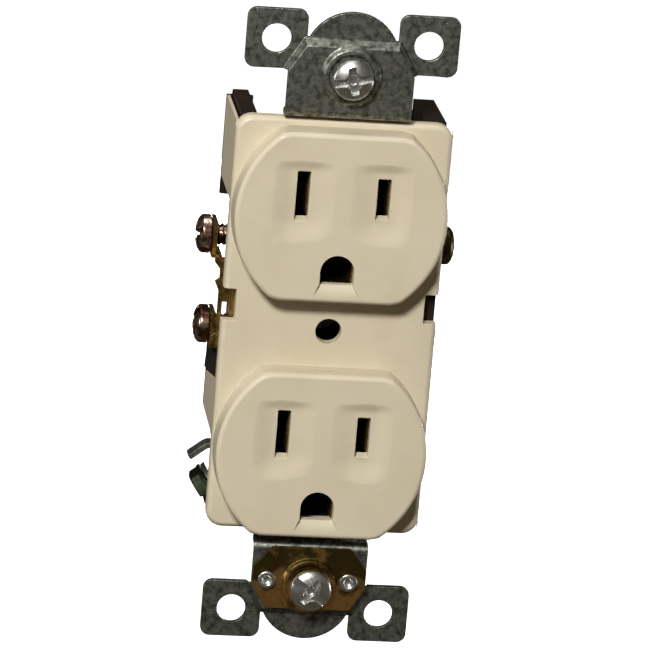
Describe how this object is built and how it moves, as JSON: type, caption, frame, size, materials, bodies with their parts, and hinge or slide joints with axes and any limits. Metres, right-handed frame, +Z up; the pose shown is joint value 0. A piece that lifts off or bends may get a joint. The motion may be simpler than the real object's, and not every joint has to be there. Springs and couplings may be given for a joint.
{
  "type": "duplex wall outlet",
  "caption": "Two-socket grounding wall outlet with an ivory cover, dark back body, wrap-around metal mounting strap with ears, and side wiring screws.",
  "frame": {"origin": "centre of the device on the wall plane, which is the back of the mounting strap's ears", "axes": "+X to the right of someone facing the outlet, -Y out of the wall towards them, +Z up"},
  "size_m": [0.0416, 0.0277, 0.1032],
  "materials": {
    "cover": "smooth moulded ivory thermoplastic",
    "back": "dark brown moulded thermoset",
    "strap": "zinc-plated rolled steel, mottled",
    "brass": "rolled brass, slightly dull",
    "clip_brass": "thin spring brass, tarnished",
    "screw_plated": "bright zinc plate",
    "screw_brass": "brass-plated steel",
    "screw_green": "green chromate over zinc",
    "rivet_steel": "plain plated steel",
    "fibre": "pressed fibre"
  },
  "bodies": {
    "body": {"front_cover": "cover", "back_body": "back", "mounting_strap": "strap", "neutral_bus": "brass", "hot_bus": "brass", "ground_contact_upper": "brass", "ground_rivet_upper": "rivet_steel", "assembly_pin_upper": "rivet_steel", "ground_contact_lower": "brass", "ground_rivet_lower": "rivet_steel", "assembly_pin_lower": "rivet_steel", "center_bushing": "rivet_steel", "ground_terminal": "strap", "ground_terminal_rivet": "rivet_steel", "ground_clip": "clip_brass", "clip_eyelet_left": "screw_plated", "clip_eyelet_right": "screw_plated"},
    "neutral_upper_clamp": {"neutral_upper_clamp": "brass"},
    "neutral_upper_screw": {"neutral_upper_screw": "screw_plated"},
    "neutral_lower_clamp": {"neutral_lower_clamp": "brass"},
    "neutral_lower_screw": {"neutral_lower_screw": "screw_plated"},
    "hot_upper_clamp": {"hot_upper_clamp": "brass"},
    "hot_upper_screw": {"hot_upper_screw": "screw_brass"},
    "hot_lower_clamp": {"hot_lower_clamp": "brass"},
    "hot_lower_screw": {"hot_lower_screw": "screw_brass"},
    "ground_clamp": {"ground_clamp": "rivet_steel"},
    "ground_screw": {"ground_screw": "screw_green"},
    "screw_retainer_top": {"screw_retainer_top": "fibre"},
    "mounting_screw_top": {"mounting_screw_top": "screw_plated"},
    "screw_retainer_bottom": {"screw_retainer_bottom": "fibre"},
    "mounting_screw_bottom": {"mounting_screw_bottom": "screw_plated"}
  },
  "joints": [
    {"name": "neutral_upper_travel", "type": "slide", "parent": "body", "child": "neutral_upper_clamp", "axis": [1, 0, 0], "range_m": [-0.0006, 0.003]},
    {"name": "neutral_upper_turn", "type": "hinge", "parent": "neutral_upper_clamp", "child": "neutral_upper_screw", "pos_m": [-0.01895, 0.008, 0.0127], "axis": [1, 0, 0], "range_deg": [-280, 1370]},
    {"name": "neutral_lower_travel", "type": "slide", "parent": "body", "child": "neutral_lower_clamp", "axis": [1, 0, 0], "range_m": [-0.00125, 0.00235]},
    {"name": "neutral_lower_turn", "type": "hinge", "parent": "neutral_lower_clamp", "child": "neutral_lower_screw", "pos_m": [-0.0183, 0.008, -0.0021], "axis": [1, 0, 0], "range_deg": [-570, 1070]},
    {"name": "hot_upper_travel", "type": "slide", "parent": "body", "child": "hot_upper_clamp", "axis": [-1, 0, 0], "range_m": [-0.00185, 0.00175]},
    {"name": "hot_upper_turn", "type": "hinge", "parent": "hot_upper_clamp", "child": "hot_upper_screw", "pos_m": [0.0177, 0.008, 0.0127], "axis": [-1, 0, 0], "range_deg": [-840, 800]},
    {"name": "hot_lower_travel", "type": "slide", "parent": "body", "child": "hot_lower_clamp", "axis": [-1, 0, 0], "range_m": [-0.0036, 0]},
    {"name": "hot_lower_turn", "type": "hinge", "parent": "hot_lower_clamp", "child": "hot_lower_screw", "pos_m": [0.01595, 0.008, -0.0021], "axis": [-1, 0, 0], "range_deg": [-1640, 0]},
    {"name": "ground_travel", "type": "slide", "parent": "body", "child": "ground_clamp", "axis": [0.788, 0, 0.6157], "range_m": [-0.0005, 0.0028]},
    {"name": "ground_turn", "type": "hinge", "parent": "ground_clamp", "child": "ground_screw", "pos_m": [-0.0126, 0.0062, -0.0261], "axis": [0.788, 0, 0.6157], "range_deg": [-230, 1270]},
    {"name": "mounting_top_travel", "type": "slide", "parent": "body", "child": "screw_retainer_top", "axis": [0, 1, 0], "range_m": [-0.0005, 0.0011]},
    {"name": "mounting_top_turn", "type": "hinge", "parent": "screw_retainer_top", "child": "mounting_screw_top", "pos_m": [0, -0.004, 0.04167], "axis": [0, 1, 0], "range_deg": [-230, 500]},
    {"name": "mounting_bottom_travel", "type": "slide", "parent": "body", "child": "screw_retainer_bottom", "axis": [0, 1, 0], "range_m": [-0.0005, 0.0012]},
    {"name": "mounting_bottom_turn", "type": "hinge", "parent": "screw_retainer_bottom", "child": "mounting_screw_bottom", "pos_m": [0, -0.0048, -0.04167], "axis": [0, 1, 0], "range_deg": [-230, 550]}
  ],
  "couplings": [
    {"joint": "neutral_upper_turn", "follows": "neutral_upper_travel", "rad_per_m": 7915.8},
    {"joint": "neutral_lower_turn", "follows": "neutral_lower_travel", "rad_per_m": 7915.8},
    {"joint": "hot_upper_turn", "follows": "hot_upper_travel", "rad_per_m": 7915.8},
    {"joint": "hot_lower_turn", "follows": "hot_lower_travel", "rad_per_m": 7915.8},
    {"joint": "ground_turn", "follows": "ground_travel", "rad_per_m": 7915.8},
    {"joint": "mounting_top_turn", "follows": "mounting_top_travel", "rad_per_m": 7915.8},
    {"joint": "mounting_bottom_turn", "follows": "mounting_bottom_travel", "rad_per_m": 7915.8}
  ]
}
